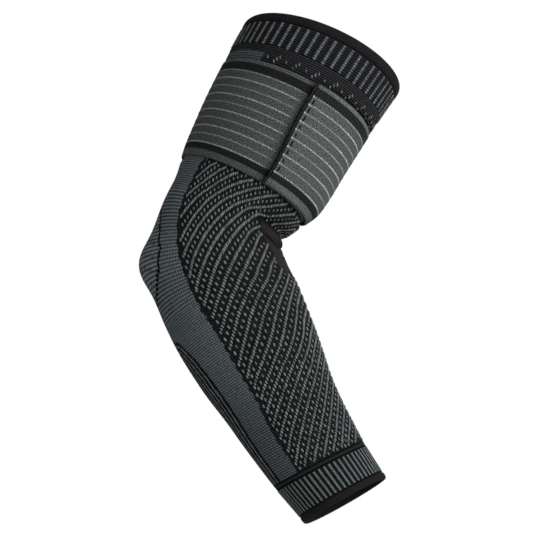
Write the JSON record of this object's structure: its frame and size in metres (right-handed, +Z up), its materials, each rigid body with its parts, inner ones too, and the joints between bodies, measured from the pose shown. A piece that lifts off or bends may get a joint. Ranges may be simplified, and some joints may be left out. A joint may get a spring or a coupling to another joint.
{
  "type": "elbow compression sleeve with strap",
  "caption": "Knitted elbow sleeve bent as worn, with ribbed cuffs, turned hems and a wide elastic strap wrapped round the upper arm.",
  "frame": {"origin": "centre of the elbow, inside the hollow, where the two limbs' centre lines cross", "axes": "+Z up the arm as worn, +X towards the crook of the elbow, the bend in the XZ plane, the strap's end on -Y"},
  "size_m": [0.1803, 0.113, 0.3447],
  "materials": {
    "hem_knit": "plain black elastic knit, turned double",
    "rib_knit": "black rib knit with grey ribs",
    "sleeve_knit": "matt black and grey jacquard compression knit",
    "strap_webbing": "woven elastic webbing, grey with black edge bands and pale lines",
    "hook_tape": "black nylon hook tape"
  },
  "bodies": {
    "root": {"upper_welt": "hem_knit", "upper_cuff": "rib_knit", "sleeve_body": "sleeve_knit", "lower_cuff": "rib_knit", "lower_welt": "hem_knit", "strap": "strap_webbing", "hook_patch": "hook_tape"}
  },
  "joints": []
}
